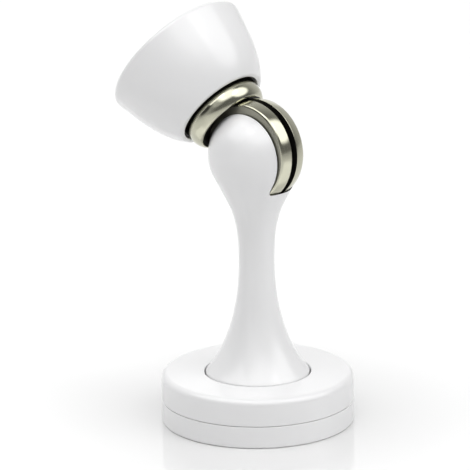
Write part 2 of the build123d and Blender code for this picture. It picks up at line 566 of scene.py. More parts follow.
@dataclass(frozen=True)
class Finish(ABC):
    """A surface finish, made as a node material."""

    name: str
    colour: Triple
    roughness: float
    metallic: float = 0.0
    shade: float = 0.96

    def material(self) -> bpy.types.Material:
        """Makes the finish's material the first time it is asked for.

        Returns:
            The material.
        """
        if self.name in bpy.data.materials:
            return bpy.data.materials[self.name]
        material = bpy.data.materials.new(self.name)
        material.use_nodes = True
        tree = material.node_tree
        shader = tree.nodes["Principled BSDF"]
        shader.inputs["Metallic"].default_value = self.metallic
        self.dress(tree, shader)
        return material

    @abstractmethod
    def dress(self, tree: Tree, shader: Node) -> None:
        """Links the finish's own colour, roughness and surface to the shader.

        Args:
            tree: The material's nodes.
            shader: Its Principled shader.
        """

    def vary_colour(self, tree: Tree, shader: Node, amount: Socket) -> None:
        """Links the colour, slightly darker in places.

        Args:
            tree: The material's nodes.
            shader: Its Principled shader.
            amount: From 0, the darker shade, to 1.
        """
        mix = tree.nodes.new("ShaderNodeMix")
        mix.data_type = "RGBA"
        mix.inputs["A"].default_value = (*(self.shade * part for part in self.colour), 1.0)
        mix.inputs["B"].default_value = (*self.colour, 1.0)
        tree.links.new(amount, mix.inputs["Factor"])
        tree.links.new(mix.outputs["Result"], shader.inputs["Base Color"])

    def vary_roughness(self, tree: Tree, shader: Node, amount: Socket, low: float, high: float) -> None:
        """Links the roughness, varied about its own value.

        Args:
            tree: The material's nodes.
            shader: Its Principled shader.
            amount: From 0 to 1.
            low: The share of the roughness at 0.
            high: The share of it at 1.
        """
        levels = (low * self.roughness, high * self.roughness)
        spread = Nodes.ramp(tree, Ramp.EVEN, amount, (0.0, 1.0), levels)
        tree.links.new(spread, shader.inputs["Roughness"])

    def bump(self, tree: Tree, shader: Node, height: Socket, strength: float, depth: float) -> None:
        """Links a bump to the shader's normal.

        Args:
            tree: The material's nodes.
            shader: Its Principled shader.
            height: The bump's height, from 0 to 1.
            strength: How much of it shows.
            depth: Its depth in metres.
        """
        node = tree.nodes.new("ShaderNodeBump")
        node.inputs["Strength"].default_value = strength
        node.inputs["Distance"].default_value = depth
        tree.links.new(height, node.inputs["Height"])
        tree.links.new(node.outputs["Normal"], shader.inputs["Normal"])


@dataclass(frozen=True)
class Enamel(Finish):
    """Sprayed gloss enamel with a faint orange-peel surface."""

    mottle: float = 60.0
    mottle_detail: float = 4.0
    gloss: float = 140.0
    gloss_detail: float = 3.0
    gloss_low: float = 0.85
    gloss_high: float = 1.2
    peel: float = 900.0
    peel_detail: float = 2.0
    peel_strength: float = 0.12
    peel_depth: float = 0.00004
    coat: float = 0.8
    coat_roughness: float = 0.12

    def dress(self, tree: Tree, shader: Node) -> None:
        """Adds the paint's mottling, gloss and orange peel.

        Args:
            tree: The material's nodes.
            shader: Its Principled shader.
        """
        where = Nodes.place(tree)
        self.vary_colour(tree, shader, Nodes.noise(tree, where, self.mottle, self.mottle_detail))
        gloss = Nodes.noise(tree, where, self.gloss, self.gloss_detail)
        self.vary_roughness(tree, shader, gloss, self.gloss_low, self.gloss_high)
        peel = Nodes.noise(tree, where, self.peel, self.peel_detail)
        self.bump(tree, shader, peel, self.peel_strength, self.peel_depth)
        shader.inputs["Coat Weight"].default_value = self.coat
        shader.inputs["Coat Roughness"].default_value = self.coat_roughness


PIVOT_POINT = (0.0, 0.0, FRAMES.pivot_height * MM)
PIVOT_AXIS = (0.0, 1.0, 0.0)
HEAD_AXIS = tuple(FRAMES.head_axis())


@dataclass(frozen=True)
class TurnedMetal(Finish):
    """Metal with fine tool marks that run round an axis through the pivot."""

    metallic: float = 1.0
    axis: Triple = PIVOT_AXIS
    cloud: float = 100.0
    cloud_detail: float = 3.0
    marks: float = 5000.0
    mark_detail: float = 2.0
    mark_low: float = 0.75
    mark_high: float = 1.3
    mark_strength: float = 0.35
    mark_depth: float = 0.000012

    def dress(self, tree: Tree, shader: Node) -> None:
        """Adds the tool marks, as rings in distance from the axis and along it.

        Args:
            tree: The material's nodes.
            shader: Its Principled shader.
        """
        where = Nodes.place(tree)
        centred = Nodes.vector(tree, VectorStep.OFFSET, where, PIVOT_POINT).outputs["Vector"]
        along = Nodes.vector(tree, VectorStep.ALONG, centred, self.axis)
        across = Nodes.vector(tree, VectorStep.ACROSS, centred, self.axis)
        radius = Nodes.vector(tree, VectorStep.LENGTH, across.outputs["Vector"])
        rings = tree.nodes.new("ShaderNodeCombineXYZ")
        tree.links.new(radius.outputs["Value"], rings.inputs["X"])
        tree.links.new(along.outputs["Value"], rings.inputs["Y"])
        marks = Nodes.noise(tree, rings.outputs["Vector"], self.marks, self.mark_detail)
        self.vary_colour(tree, shader, Nodes.noise(tree, where, self.cloud, self.cloud_detail))
        self.vary_roughness(tree, shader, marks, self.mark_low, self.mark_high)
        self.bump(tree, shader, marks, self.mark_strength, self.mark_depth)


@dataclass(frozen=True)
class Mottled(Finish):
    """A matt finish with a fine grain in its surface."""

    grain: float = 1000.0
    grain_detail: float = 4.0
    grain_low: float = 0.9
    grain_high: float = 1.1
    grain_strength: float = 0.4
    grain_depth: float = 0.00003

    def dress(self, tree: Tree, shader: Node) -> None:
        """Adds the grain to colour, roughness and surface.

        Args:
            tree: The material's nodes.
            shader: Its Principled shader.
        """
        grain = Nodes.noise(tree, Nodes.place(tree), self.grain, self.grain_detail)
        self.vary_colour(tree, shader, grain)
        self.vary_roughness(tree, shader, grain, self.grain_low, self.grain_high)
        self.bump(tree, shader, grain, self.grain_strength, self.grain_depth)


WHITE_ENAMEL = Enamel("gloss_enamel", (0.88, 0.88, 0.885), 0.3, shade=0.985)
SATIN_NICKEL = TurnedMetal("collar_nickel", (0.57, 0.562, 0.45), 0.14, shade=0.93, cloud=90.0)
# Near-black copy of the metal: painted shade for the groove's walls and the dish's underside, where shade
# falls.
PAINTED_SHADE_HOLLOWS = TurnedMetal("painted_shade_hollows", (0.055, 0.053, 0.048), 0.5, shade=0.7, cloud=300.0)
# Darker copy of the nickel: painted shade on the disc's side faces, with a rougher satin surface.
DISC_FACE_PAINTED_SHADE = TurnedMetal("disc_face_painted_shade", (0.36, 0.355, 0.295), 0.34, shade=0.88, cloud=200.0)
SCREW_STEEL = TurnedMetal("screw_steel", (0.56, 0.56, 0.57), 0.28, shade=0.85, cloud=200.0)
PLATED_STEEL = TurnedMetal(
    "plated_steel", (0.60, 0.61, 0.63), 0.30, shade=0.85, cloud=120.0, axis=HEAD_AXIS
)
MAGNET_PLATE = TurnedMetal(
    "magnet_plate", (0.66, 0.65, 0.63), 0.18, shade=0.9, cloud=150.0, axis=HEAD_AXIS
)
BLACK_RUBBER = Mottled("mouth_rubber", (0.016, 0.016, 0.017), 0.62, shade=0.7, grain=1500.0)
DARK_NYLON = Mottled("dark_nylon", (0.05, 0.05, 0.05), 0.5, shade=0.8, grain=900.0)


class Assembly(ABC):
    """A sub-assembly: pieces that ride on one body."""

    body: Body = Body.STAND

    @abstractmethod
    def build(self) -> None:
        """Builds every piece of the sub-assembly."""

    def dress(
        self, piece: Piece, finish: Finish, slot: Slot, nodes: tuple[str, ...], body: Body | None = None
    ) -> None:
        """Smooths and finishes a piece and hands it to its body.

        Args:
            piece: The piece, in place.
            finish: Its finish.
            slot: The record's slot for that finish; not used.
            nodes: The solids that it stands for.
            body: The body that it rides on, if not the sub-assembly's own.
        """
        Workshop.smooth(piece)
        piece.data.materials.clear()
        piece.data.materials.append(finish.material())
        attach(piece, (body or self.body).value)
        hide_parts(*nodes)
        log.info("%s: %d faces, %s", piece.name, len(piece.data.polygons), finish.name)

    def keep(self, node: str, finish: Finish) -> None:
        """Gives a solid that stays its own finish.

        Args:
            node: The solid's name.
            finish: Its finish.
        """
        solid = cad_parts[node]
        solid.data.materials.clear()
        solid.data.materials.append(finish.material())
        log.info("%s: kept, %s", node, finish.name)


@dataclass
class Base(Assembly):
    """The base plate and the cover that clamps the stem."""

    radius: float = 25.0
    plate_height: float = 5.9
    cover_height: float = 7.1
    foot_round: float = 0.6
    seam_round: float = 0.2
    seam_gap: float = 0.14
    seam_depth: float = 0.8
    cover_round: float = 1.8
    hole_radius: float = 13.8
    hole_round: float = 0.35
    lip_height: float = 2.2
    spigot_radius: float = 20.5
    spigot_height: float = 3.2
    spigot_gap: float = 0.1
    screw_radius: float = 2.3
    screw_head_radius: float = 4.3
    screw_circle: float = 29.0
    screw_angle: float = 90.0
    screw_count: int = 3

    def build(self) -> None:
        """Builds both pieces."""
        self.plate()
        self.cover()

    def plate(self) -> None:
        """Builds the plate, with its countersunk floor holes."""
        top = self.plate_height + self.spigot_height
        outline = Outline().corner(0, 0).corner(self.radius, 0, self.foot_round)
        seam = self.plate_height - self.seam_gap
        outline.corner(self.radius, seam, self.seam_round).corner(self.radius - self.seam_depth, seam)
        outline.corner(self.radius - self.seam_depth, self.plate_height)
        outline.corner(self.spigot_radius, self.plate_height)
        outline.corner(self.spigot_radius, top, self.seam_round).corner(0, top)
        piece = Workshop.turned("base_plate_fine", outline, FRAMES.upright(), BASE_TURN)
        sink = self.screw_head_radius - self.screw_radius
        drill = Outline().corner(0, -OVERRUN).corner(self.screw_radius, -OVERRUN)
        drill.corner(self.screw_radius, top - sink).corner(self.screw_head_radius, top)
        drill.corner(self.screw_head_radius, top + OVERRUN).corner(0, top + OVERRUN)
        drills = Workshop.drills(
            "floor_drill", drill, FRAMES.upright(), self.screw_circle, self.screw_count, self.screw_angle
        )
        Workshop.combine(piece, drills, Cut.TAKE_AWAY)
        self.dress(piece, WHITE_ENAMEL, Slot.ENAMEL, ("base_plate",))

    def cover(self) -> None:
        """Builds the cover ring."""
        top = self.plate_height + self.cover_height
        inner = self.spigot_radius + self.spigot_gap
        shelf = top - self.lip_height
        outline = Outline().corner(self.hole_radius, shelf)
        outline.corner(self.hole_radius, top, self.hole_round)
        outline.corner(self.radius, top, self.cover_round)
        outline.corner(self.radius, self.plate_height, self.seam_round)
        outline.corner(inner, self.plate_height).corner(inner, shelf)
        piece = Workshop.turned("base_cover_fine", outline, FRAMES.upright(), BASE_TURN)
        self.dress(piece, WHITE_ENAMEL, Slot.ENAMEL, ("base_cover",))


@dataclass
class Stem(Assembly):
    """The column with its slotted ball, and the pivot in it."""

    flange_bottom: float = 9.1
    flange_top: float = 10.8
    flange_radius: float = 18.5
    foot_radius: float = 13.45
    foot_height: float = 13.0
    foot_slope: float = 40.0
    foot_round: float = 0.3
    waist_radius: float = 4.6
    waist_height: float = 42.5
    ball_radius: float = 12.2
    ball_drop: float = 1.1
    shoulder_angle: float = 27.0
    shoulder_length: float = 8.0
    shoulder_steps: int = 10
    ball_steps: int = 64
    slot_radius: float = 13.5
    slot_width: float = 9.3
    slot_round: float = 0.8
    slot_steps: int = 24
    edge_round: float = 0.22
    screw_radius: float = 2.0
    screw_hole_radius: float = 2.05
    screw_end: float = 9.35
    screw_end_round: float = 0.4
    screw_hole_end: float = 9.65
    head_radius: float = 3.5
    head_seat: float = 8.1
    head_height: float = 2.2
    head_round: float = 0.35
    head_gap: float = 0.1
    socket_width: float = 2.5
    socket_depth: float = 1.3
    socket_sides: int = 6

    def build(self) -> None:
        """Builds the column and the pivot screw, and finishes the washers."""
        self.column()
        self.screw()
        self.keep("friction_washers", DARK_NYLON)

    def column(self) -> None:
        """Builds the column: a flared foot, a waist, a cone and a ball, cut by the slot."""
        angle = math.radians(self.shoulder_angle)
        slope = math.radians(self.foot_slope)
        shoulder = (math.sin(angle), math.cos(angle))
        centre = (0.0, FRAMES.pivot_height - self.ball_drop)
        ball_start = (self.ball_radius * shoulder[1], centre[1] - self.ball_radius * shoulder[0])
        cone_start = (
            ball_start[0] - self.shoulder_length * shoulder[0],
            ball_start[1] - self.shoulder_length * shoulder[1],
        )
        outline = Outline().corner(0, self.flange_bottom).corner(self.flange_radius, self.flange_bottom)
        outline.corner(self.flange_radius, self.flange_top).corner(self.foot_radius, self.flange_top)
        outline.corner(self.foot_radius, self.foot_height, self.foot_round)
        waist = (self.waist_radius, self.waist_height)
        outline.curve(waist, (-math.sin(slope), math.cos(slope)), (0, 1))
        outline.curve(cone_start, (0, 1), shoulder)
        for step in range(1, self.shoulder_steps):
            share = step / self.shoulder_steps
            outline.corner(
                cone_start[0] + share * self.shoulder_length * shoulder[0],
                cone_start[1] + share * self.shoulder_length * shoulder[1],
            )
        outline.corner(*ball_start)
        outline.arc(centre, (0.0, centre[1] + self.ball_radius), steps=self.ball_steps)
        piece = Workshop.turned("stem_fine", outline, FRAMES.upright())
        half = self.slot_width / 2
        edge = math.sqrt(self.slot_radius**2 - half**2)
        slot_outline = Outline().corner(0, -half).corner(edge, -half, self.slot_round)
        slot_outline.arc((0.0, 0.0), (edge, half), 1, self.slot_round, self.slot_steps).corner(0, half)
        slot = Workshop.turned("slot_cut", slot_outline, FRAMES.pivot())
        Workshop.combine(piece, [slot], Cut.TAKE_AWAY)
        Workshop.soften(piece, self.edge_round)
        axis = FRAMES.pivot()
        seat_radius = self.head_radius + self.head_gap
        hole_end = -self.screw_hole_end
        hole = Workshop.prism("pivot_cut", self.screw_hole_radius, hole_end, THROUGH, axis, HOLE_TURN)
        seat = Workshop.prism("seat_cut", seat_radius, self.head_seat, THROUGH, axis, SMALL_TURN)
        Workshop.combine(piece, [hole, seat], Cut.TAKE_AWAY)
        self.dress(piece, WHITE_ENAMEL, Slot.ENAMEL, ("stem",))

    def screw(self) -> None:
        """Builds the pivot screw, with its hexagon socket."""
        top = self.head_seat + self.head_height
        outline = Outline().corner(0, -self.screw_end)
        outline.corner(self.screw_radius, -self.screw_end, self.screw_end_round)
        outline.corner(self.screw_radius, self.head_seat).corner(self.head_radius, self.head_seat)
        outline.corner(self.head_radius, top, self.head_round).corner(0, top)
        piece = Workshop.turned("pivot_screw_fine", outline, FRAMES.pivot(), SMALL_TURN)
        corner = self.socket_width / math.sqrt(3)
        floor = top - self.socket_depth
        axis = FRAMES.pivot()
        socket = Workshop.prism("socket_cut", corner, floor, top + OVERRUN, axis, self.socket_sides)
        Workshop.combine(piece, [socket], Cut.TAKE_AWAY)
        self.dress(piece, SCREW_STEEL, Slot.STEEL, ("pivot_screw",))


@dataclass
class MagnetHead(Assembly):
    """The tilting holder with the magnet in its collar."""

    body: Body = Body.HEAD
    disc_radius: float = 13.2
    disc_thickness: float = 8.5
    disc_round: float = 0.5
    groove_width: float = 2.1
    groove_floor: float = 6.5
    groove_round: float = 0.12
    groove_runout: float = 6.5
    groove_runout_radius: float = 9.0
    groove_runout_bore: float = 4.0
    bore_radius: float = 2.05
    dish_radius: float = 13.1
    dish_neck: float = 6.0
    relief_radius: float = 13.6
    relief_round: float = 0.1
    lip_height: float = 9.9
    lip_radius: float = 9.7
    lip_round: float = 0.3
    barrel_radius: float = 10.9
    barrel_height: float = 12.6
    neck_radius: float = 10.1
    neck_height: float = 15.4
    top_radius: float = 9.9
    top_height: float = 18.1
    top_round: float = 0.25
    pocket_radius: float = 8.5
    pocket_floor: float = 14.7
    pot_radius: float = 8.4
    pot_wall: float = 1.2
    pot_floor: float = 0.9
    pot_round: float = 0.15
    magnet_gap: float = 0.5
    magnet_recess: float = 0.1
    magnet_round: float = 0.25
    plane_slack: float = 0.02
    groove_slack: float = 0.2
    dish_slack: float = 0.05
    steep: float = 0.5
    inward: float = 0.7
    flat: float = 0.9

    def build(self) -> None:
        """Builds the holder, the pot and the magnet."""
        self.holder()
        self.pot()
        self.magnet()

    def disc(self) -> Piece:
        """Builds the grooved disc, about the pivot. The groove runs out towards the collar.

        Returns:
            The disc, to be joined to the collar.
        """
        half = self.disc_thickness / 2
        groove = self.groove_width / 2
        face = math.sqrt(self.disc_radius**2 - half**2)
        edge = math.sqrt(self.disc_radius**2 - groove**2)
        outline = Outline().corner(self.bore_radius, half).corner(face, half, self.disc_round)
        outline.arc((0.0, 0.0), (edge, groove), -1, self.groove_round).corner(self.groove_floor, groove)
        outline.corner(self.groove_floor, -groove).corner(edge, -groove, self.groove_round)
        outline.arc((0.0, 0.0), (face, -half), -1, self.disc_round).corner(self.bore_radius, -half)
        piece = Workshop.turned("disc_turned", outline, FRAMES.pivot())
        tilt = math.radians(FRAMES.head_tilt)
        sideways = -math.sin(tilt) * self.groove_runout
        upwards = -math.cos(tilt) * self.groove_runout
        shifted = FRAMES.pivot() @ Matrix.Translation((sideways, upwards, 0))
        web = groove + self.groove_round
        floor = Workshop.prism("groove_runout", self.groove_runout_radius, -web, web, shifted, FINE_TURN)
        bore = Workshop.prism("bore_cut", self.groove_runout_bore, -half, half, FRAMES.pivot(), SMALL_TURN)
        Workshop.combine(floor, [bore], Cut.TAKE_AWAY)
        Workshop.combine(piece, [floor], Cut.JOIN)
        return piece

    def barrel_centre(self) -> Point:
        """Finds the circle through the barrel's three points.

        Returns:
            The circle's centre.
        """
        lip = Vector((self.lip_radius, self.lip_height))
        belly = Vector((self.barrel_radius, self.barrel_height))
        neck = Vector((self.neck_radius, self.neck_height))
        radius = 0.0
        height = 0.0
        area = 0.0
        for point, following, last in ((lip, belly, neck), (belly, neck, lip), (neck, lip, belly)):
            radius += point.length_squared * (following.y - last.y)
            height += point.length_squared * (last.x - following.x)
            area += 2 * point.x * (following.y - last.y)
        return radius / area, height / area

    def holder(self) -> None:
        """Builds the holder: the disc and the dished barrel collar, joined."""
        neck = math.sqrt(self.dish_radius**2 - self.dish_neck**2)
        relief = math.sqrt(self.relief_radius**2 - self.dish_neck**2)
        relief_edge = math.sqrt(self.relief_radius**2 - self.lip_height**2)
        outline = Outline().corner(0, self.dish_radius)
        outline.arc((0.0, 0.0), (self.dish_neck, neck), -1).corner(self.dish_neck, relief)
        outline.arc((0.0, 0.0), (relief_edge, self.lip_height), -1, self.relief_round)
        outline.corner(self.lip_radius, self.lip_height, self.lip_round)
        outline.arc(self.barrel_centre(), (self.neck_radius, self.neck_height), 1)
        outline.corner(self.top_radius, self.top_height, self.top_round)
        outline.corner(self.pocket_radius, self.top_height)
        outline.corner(self.pocket_radius, self.pocket_floor).corner(0, self.pocket_floor)
        piece = Workshop.turned("magnet_holder_fine", outline, FRAMES.head())
        Workshop.combine(piece, [self.disc()], Cut.JOIN)
        self.dress(piece, SATIN_NICKEL, Slot.NICKEL, ("magnet_holder",))
        self.paint_shade_in_hollows(piece)

    def paint_shade_in_hollows(self, piece: Piece) -> None:
        """Paints shade into the groove and the dish with a near-black copy of the metal, and onto the
        disc's side faces with a darker copy of the nickel.

        Args:
            piece: The holder, plated all over.
        """
        dark = len(piece.data.materials)
        piece.data.materials.append(PAINTED_SHADE_HOLLOWS.material())
        piece.data.materials.append(DISC_FACE_PAINTED_SHADE.material())
        to_pivot = (Matrix.Scale(MM, 4) @ FRAMES.pivot()).inverted()
        turn = to_pivot.to_3x3()
        for face in piece.data.polygons:
            place = to_pivot @ face.center
            normal = (turn @ face.normal).normalized()
            across = abs(place.z)
            reach = place.xy.length
            in_groove = across < self.groove_width / 2 + self.plane_slack
            in_groove = in_groove and reach < self.disc_radius - self.groove_slack
            is_floor = reach > self.groove_floor + self.groove_slack and abs(normal.z) < self.steep
            in_dish = place.length < self.relief_radius + self.dish_slack
            in_dish = in_dish and normal.dot(place.normalized()) < -self.inward
            on_face = abs(across - self.disc_thickness / 2) < self.plane_slack
            # Groove walls and dish take the near-black painted shade; the disc's flat side faces take the
            # darker painted shade.
            if in_dish or (in_groove and not is_floor):
                face.material_index = dark
            elif on_face and abs(normal.z) > self.flat:
                face.material_index = dark + 1

    def pot(self) -> None:
        """Builds the steel pot."""
        inner = self.pot_radius - self.pot_wall
        outline = Outline().corner(0, self.pocket_floor).corner(self.pot_radius, self.pocket_floor)
        outline.corner(self.pot_radius, self.top_height, self.pot_round)
        outline.corner(inner, self.top_height, self.pot_round)
        floor = self.pocket_floor + self.pot_floor
        outline.corner(inner, floor).corner(0, floor)
        piece = Workshop.turned("magnet_pot_fine", outline, FRAMES.head(), PLAIN_TURN)
        self.dress(piece, PLATED_STEEL, Slot.STEEL, ("magnet_pot",))

    def magnet(self) -> None:
        """Builds the magnet."""
        radius = self.pot_radius - self.pot_wall - self.magnet_gap
        low = self.pocket_floor + self.pot_floor
        top = self.top_height - self.magnet_recess
        outline = Outline().corner(0, low).corner(radius, low)
        outline.corner(radius, top, self.magnet_round).corner(0, top)
        piece = Workshop.turned("magnet_fine", outline, FRAMES.head(), PLAIN_TURN)
        self.dress(piece, MAGNET_PLATE, Slot.MAGNET, ("magnet",))


@dataclass
class Catch(Assembly):
    """The door catch: its cup, sprung strike plate and door plate."""

    body: Body = Body.CATCH
    mouth_height: float = 14.6
    mouth_radius: float = 11.5
    mouth_wall: float = 1.1
    mouth_round: float = 0.4
    length: float = 19.9
    rim_radius: float = 19.95
    rim_round: float = 1.25
    mouth_slope: float = 41.6
    rim_slope: float = 12.9
    bell_steps: int = 64
    seat_round: float = 0.2
    wall: float = 2.0
    ledge: float = 1.2
    web_height: float = 24.7
    web_thickness: float = 2.0
    rod_radius: float = 2.4
    rod_gap: float = 0.1
    rod_length: float = 8.9
    rod_groove: float = 0.5
    rod_round: float = 0.4
    clip_thickness: float = 0.8
    strike_face: float = 18.2
    strike_thickness: float = 1.6
    strike_radius: float = 9.4
    strike_round: float = 0.3
    strike_travel: float = 2.5
    buffer_wall: float = 1.6
    buffer_gap: float = 0.05
    buffer_face: float = 18.3
    buffer_round: float = 0.4
    skirt_wall: float = 0.6
    skirt_setback: float = 0.7
    skirt_round: float = 0.2
    skirt_outer_round: float = 0.15
    plate_thickness: float = 2.6
    plate_recess: float = 0.1
    plate_gap: float = 0.1
    plate_front_round: float = 0.2
    plate_back_round: float = 0.3
    screw_radius: float = 2.1
    screw_head_radius: float = 4.0
    screw_circle: float = 22.0
    screw_count: int = 3
    spring_wire: float = 0.3
    spring_radius: float = 4.4
    spring_turns: float = 2.5
    spring_gap: float = 0.05
    spring_steps: int = 120
    spring_sides: int = 12

    def build(self) -> None:
        """Builds every piece of the catch."""
        self.cup()
        self.buffer()
        self.strike()
        self.spring()
        self.door_plate()
        self.keep("rod_clip", PLATED_STEEL)

    def rim_height(self) -> float:
        """The cup's wide end, from the pivot."""
        return self.mouth_height + self.length

    def plate_radius(self) -> float:
        """The seat for the door plate."""
        return self.rim_radius - self.wall

    def plate_front(self) -> float:
        """The door plate's inner face, from the pivot."""
        return self.rim_height() - self.plate_recess - self.plate_thickness

    def cup(self) -> None:
        """Builds the bell-shaped cup."""
        mouth = math.radians(self.mouth_slope)
        rim = math.radians(self.rim_slope)
        web_back = self.web_height + self.web_thickness
        hole = self.rod_radius + self.rod_gap
        outline = Outline().corner(hole, web_back).corner(hole, self.web_height)
        outline.corner(self.mouth_radius, self.web_height)
        outline.corner(self.mouth_radius, self.mouth_height, self.mouth_round)
        outline.corner(self.mouth_radius + self.mouth_wall, self.mouth_height, self.mouth_round)
        outline.curve(
            (self.rim_radius, self.rim_height()),
            (math.sin(mouth), math.cos(mouth)),
            (math.sin(rim), math.cos(rim)),
            self.rim_round,
            self.bell_steps,
        )
        outline.corner(self.plate_radius(), self.rim_height(), self.seat_round)
        outline.corner(self.plate_radius(), self.plate_front())
        outline.corner(self.plate_radius() - self.ledge, self.plate_front())
        outline.corner(self.mouth_radius, web_back)
        piece = Workshop.turned("catch_cup_fine", outline, FRAMES.head())
        self.dress(piece, WHITE_ENAMEL, Slot.ENAMEL, ("catch_cup",))

    def buffer(self) -> None:
        """Builds the rubber ring in the cup's mouth."""
        outer = self.mouth_radius - self.buffer_gap
        inner = self.mouth_radius - self.buffer_wall
        skirt = self.mouth_radius - self.skirt_wall
        skirt_end = self.mouth_height + self.skirt_setback
        outline = Outline().corner(inner, self.web_height)
        outline.corner(inner, self.buffer_face, self.buffer_round)
        outline.corner(skirt, self.buffer_face).corner(skirt, skirt_end, self.skirt_round)
        outline.corner(outer, skirt_end, self.skirt_outer_round).corner(outer, self.web_height)
        piece = Workshop.turned("mouth_buffer_fine", outline, FRAMES.head(), PLAIN_TURN)
        self.dress(piece, BLACK_RUBBER, Slot.RUBBER, ("mouth_buffer",))

    def strike(self) -> None:
        """Builds the strike plate on its plunger rod."""
        back = self.strike_face + self.strike_thickness
        web_back = self.web_height + self.web_thickness
        clip_back = web_back + self.clip_thickness
        neck = self.rod_radius - self.rod_groove
        outline = Outline().corner(0, self.strike_face)
        outline.corner(self.strike_radius, self.strike_face, self.strike_round)
        outline.corner(self.strike_radius, back, self.strike_round)
        outline.corner(self.rod_radius, back).corner(self.rod_radius, web_back)
        outline.corner(neck, web_back).corner(neck, clip_back).corner(self.rod_radius, clip_back)
        rod_end = back + self.rod_length
        outline.corner(self.rod_radius, rod_end, self.rod_round).corner(0, rod_end)
        piece = Workshop.turned("strike_plate_fine", outline, FRAMES.head(), PLAIN_TURN)
        self.dress(piece, PLATED_STEEL, Slot.STEEL, ("strike_plate",), Body.STRIKE)

    def spring(self) -> None:
        """Builds the buffer spring at rest; the real one shortens with the plunger."""
        low = self.strike_face + self.strike_thickness + self.spring_wire + self.spring_gap
        high = self.web_height - self.spring_wire - self.spring_gap
        sides = self.spring_sides
        mesh = bmesh.new()
        rings = []
        for step in range(self.spring_steps + 1):
            share = step / self.spring_steps
            angle = 2 * math.pi * self.spring_turns * share
            out = Vector((math.cos(angle), math.sin(angle), 0))
            centre = out * self.spring_radius + Vector((0, 0, low + (high - low) * share))
            ring = []
            for side in range(sides):
                turn = 2 * math.pi * side / sides
                offset = out * math.cos(turn) + Vector((0, 0, 1)) * math.sin(turn)
                ring.append(mesh.verts.new(centre + offset * self.spring_wire))
            rings.append(ring)
        for lower, upper in zip(rings, rings[1:]):
            for side in range(sides):
                following = (side + 1) % sides
                mesh.faces.new((lower[side], lower[following], upper[following], upper[side]))
        mesh.faces.new(rings[0])
        mesh.faces.new(rings[-1])
        bmesh.ops.recalc_face_normals(mesh, faces=mesh.faces)
        piece = Workshop.placed("buffer_spring_fine", mesh, FRAMES.head())
        self.dress(piece, PLATED_STEEL, Slot.STEEL, ("buffer_spring",))
        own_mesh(piece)

    def door_plate(self) -> None:
        """Builds the door plate, with its countersunk holes."""
        front = self.plate_front()
        back = front + self.plate_thickness
        radius = self.plate_radius() - self.plate_gap
        outline = Outline().corner(0, front).corner(radius, front, self.plate_front_round)
        outline.corner(radius, back, self.plate_back_round).corner(0, back)
        piece = Workshop.turned("door_plate_fine", outline, FRAMES.head(), PLAIN_TURN)
        sink = self.screw_head_radius - self.screw_radius
        drill = Outline().corner(0, front - OVERRUN).corner(self.screw_head_radius, front - OVERRUN)
        drill.corner(self.screw_head_radius, front).corner(self.screw_radius, front + sink)
        drill.corner(self.screw_radius, back + OVERRUN).corner(0, back + OVERRUN)
        drills = Workshop.drills("door_drill", drill, FRAMES.head(), self.screw_circle, self.screw_count)
        Workshop.combine(piece, drills, Cut.TAKE_AWAY)
        self.dress(piece, PLATED_STEEL, Slot.STEEL, ("door_plate",))


@dataclass(frozen=True)
class Side:
    """One side of the surround, brighter or darker than the rest.

    Its place is in degrees to the right of the camera and above the floor. The change starts and is
    full where the direction's share towards that side has these values.
    """

    around: float
    rise: float
    start: float
    full: float
    change: float


@dataclass(frozen=True)
class Lamp:
    """A soft square lamp that faces the part.

    Its place is in degrees to the right of the camera and above the floor. Its distance and the
    length of its side are in metres and its power is in watts.
    """

    name: str
    around: float
    rise: float
    distance: float
    size: float
    power: float


BACK_WALL = Side(180.0, 0.0, 0.0, 0.9, 0.48)
BACKDROP = Side(180.0, 15.0, 0.93, 0.985, 0.36)
LEFT_WALL = Side(-90.0, 0.0, 0.0, 0.9, 0.32)
RIGHT_WALL = Side(90.0, 0.0, 0.0, 0.9, 0.02)
RIGHT_SOFT = Side(77.0, 41.0, 0.88, 0.95, 1.85)
KEY_SOFT = Side(18.0, 63.0, 0.82, 0.96, 1.72)
FRONT_SOFT = Side(-12.0, 38.0, 0.90, 0.97, 0.34)
DARK_CORNER = Side(-68.0, 24.0, 0.88, 0.96, -0.42)
SURROUND = (
    BACK_WALL,
    BACKDROP,
    LEFT_WALL,
    RIGHT_WALL,
    RIGHT_SOFT,
    KEY_SOFT,
    FRONT_SOFT,
    DARK_CORNER,
)

LEFT_FILL = Lamp("left_fill", -74.0, 58.0, 1.1, 0.9, 4.2)


